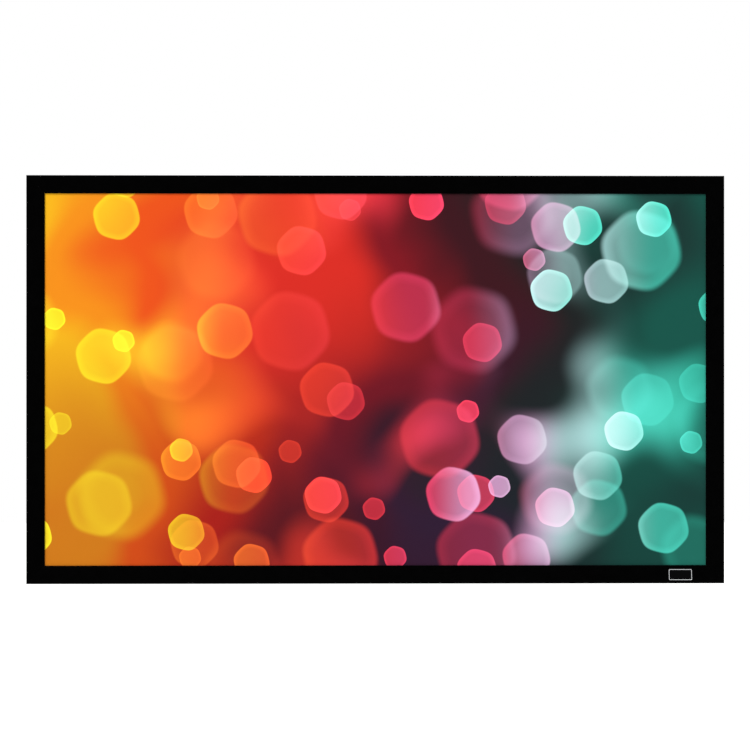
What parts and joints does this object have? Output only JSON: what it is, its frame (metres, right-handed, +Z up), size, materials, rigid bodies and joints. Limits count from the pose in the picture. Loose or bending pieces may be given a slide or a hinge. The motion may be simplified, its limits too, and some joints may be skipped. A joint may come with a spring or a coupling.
{
  "type": "fixed frame projector screen",
  "caption": "Wall-hung projection screen: a sprung sheet held taut inside a wide, flat, velvet-wrapped black frame, with brackets, corner joints and a support bar behind",
  "frame": {"origin": "on the wall plane, behind the centre of the picture", "axes": "+X to the right as the viewer sees it, +Y into the wall, +Z up; the picture faces -Y"},
  "size_m": [2.334, 0.0386, 1.365],
  "materials": {
    "rail_aluminium": "mill finish extrusion",
    "velvet": "light-absorbing black velvet",
    "screen_cloth": "matte vinyl with a printed design in front and a black back",
    "rod_and_springs": "glass fibre rod with zinc plated springs",
    "zinc_steel": "zinc plated",
    "black_steel": "black oxide",
    "black_anodised": "black anodised extrusion",
    "black_plastic": "moulded, matte",
    "badge_metal": "black face inside a bright rim"
  },
  "bodies": {
    "root": {"top_left_rail": "rail_aluminium", "top_right_rail": "rail_aluminium", "right_rail": "rail_aluminium", "bottom_right_rail": "rail_aluminium", "bottom_left_rail": "rail_aluminium", "left_rail": "rail_aluminium", "top_left_velvet": "velvet", "top_right_velvet": "velvet", "right_velvet": "velvet", "bottom_right_velvet": "velvet", "bottom_left_velvet": "velvet", "left_velvet": "velvet", "screen_sheet": "screen_cloth", "top_left_tension_rod": "rod_and_springs", "top_right_tension_rod": "rod_and_springs", "right_tension_rod": "rod_and_springs", "bottom_right_tension_rod": "rod_and_springs", "bottom_left_tension_rod": "rod_and_springs", "left_tension_rod": "rod_and_springs", "top_left_elbow": "zinc_steel", "top_left_elbow_screw_1": "black_steel", "top_left_elbow_screw_2": "black_steel", "top_left_elbow_screw_3": "black_steel", "top_left_elbow_screw_4": "black_steel", "top_right_elbow": "zinc_steel", "top_right_elbow_screw_1": "black_steel", "top_right_elbow_screw_2": "black_steel", "top_right_elbow_screw_3": "black_steel", "top_right_elbow_screw_4": "black_steel", "bottom_right_elbow": "zinc_steel", "bottom_right_elbow_screw_1": "black_steel", "bottom_right_elbow_screw_2": "black_steel", "bottom_right_elbow_screw_3": "black_steel", "bottom_right_elbow_screw_4": "black_steel", "bottom_left_elbow": "zinc_steel", "bottom_left_elbow_screw_1": "black_steel", "bottom_left_elbow_screw_2": "black_steel", "bottom_left_elbow_screw_3": "black_steel", "bottom_left_elbow_screw_4": "black_steel", "top_joiner": "zinc_steel", "top_joiner_screw_1": "black_steel", "top_joiner_screw_2": "black_steel", "top_joiner_screw_3": "black_steel", "top_joiner_screw_4": "black_steel", "bottom_joiner": "zinc_steel", "bottom_joiner_screw_1": "black_steel", "bottom_joiner_screw_2": "black_steel", "bottom_joiner_screw_3": "black_steel", "bottom_joiner_screw_4": "black_steel", "support_bar": "rail_aluminium", "support_bar_top_cap": "black_plastic", "support_bar_bottom_cap": "black_plastic", "top_left_wall_bracket": "black_anodised", "top_right_wall_bracket": "black_anodised", "bottom_right_wall_bracket": "black_anodised", "bottom_left_wall_bracket": "black_anodised", "badge_plate": "badge_metal"}
  },
  "joints": []
}
